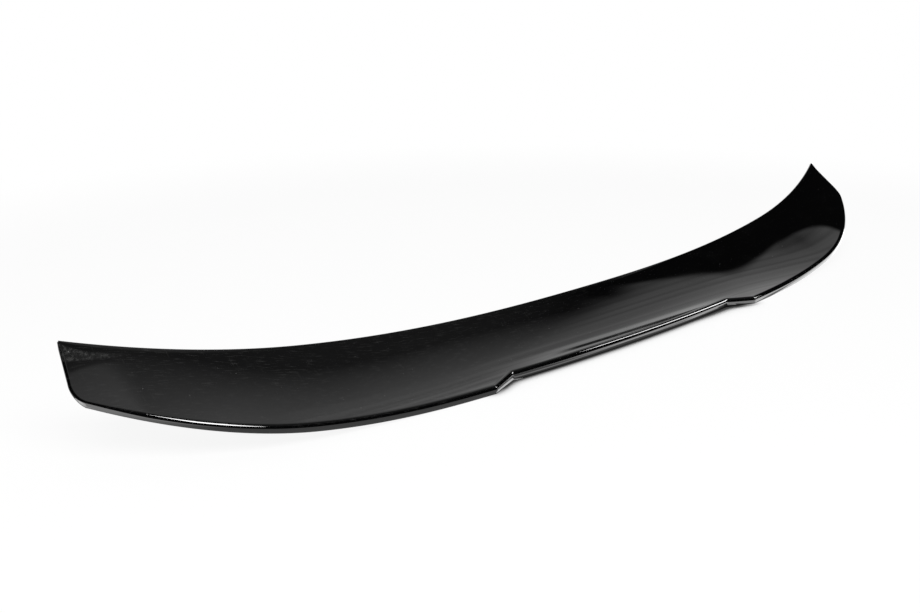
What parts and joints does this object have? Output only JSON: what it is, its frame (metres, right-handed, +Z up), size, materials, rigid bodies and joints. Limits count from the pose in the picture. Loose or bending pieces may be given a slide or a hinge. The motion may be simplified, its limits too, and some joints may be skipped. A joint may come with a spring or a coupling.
{
  "type": "car rear spoiler",
  "caption": "Lip-type rear spoiler: a thin gloss-black shell with a hollow top, swept-up pointed ends, a stepped recess in its nose and a return, bonded over a boot lid's rear edge.",
  "frame": {"origin": "middle of the flat return that the spoiler rests on, on the symmetry plane", "axes": "+X across the car, +Y from the trailing edge with its nose to the leading edge, +Z up from the surface it lies on"},
  "size_m": [1.219, 0.1639, 0.1023],
  "materials": {
    "shell": "gloss black moulded plastic, lightly dusty, with fine hairline scratches"
  },
  "bodies": {
    "root": {"spoiler": "shell"}
  },
  "joints": []
}
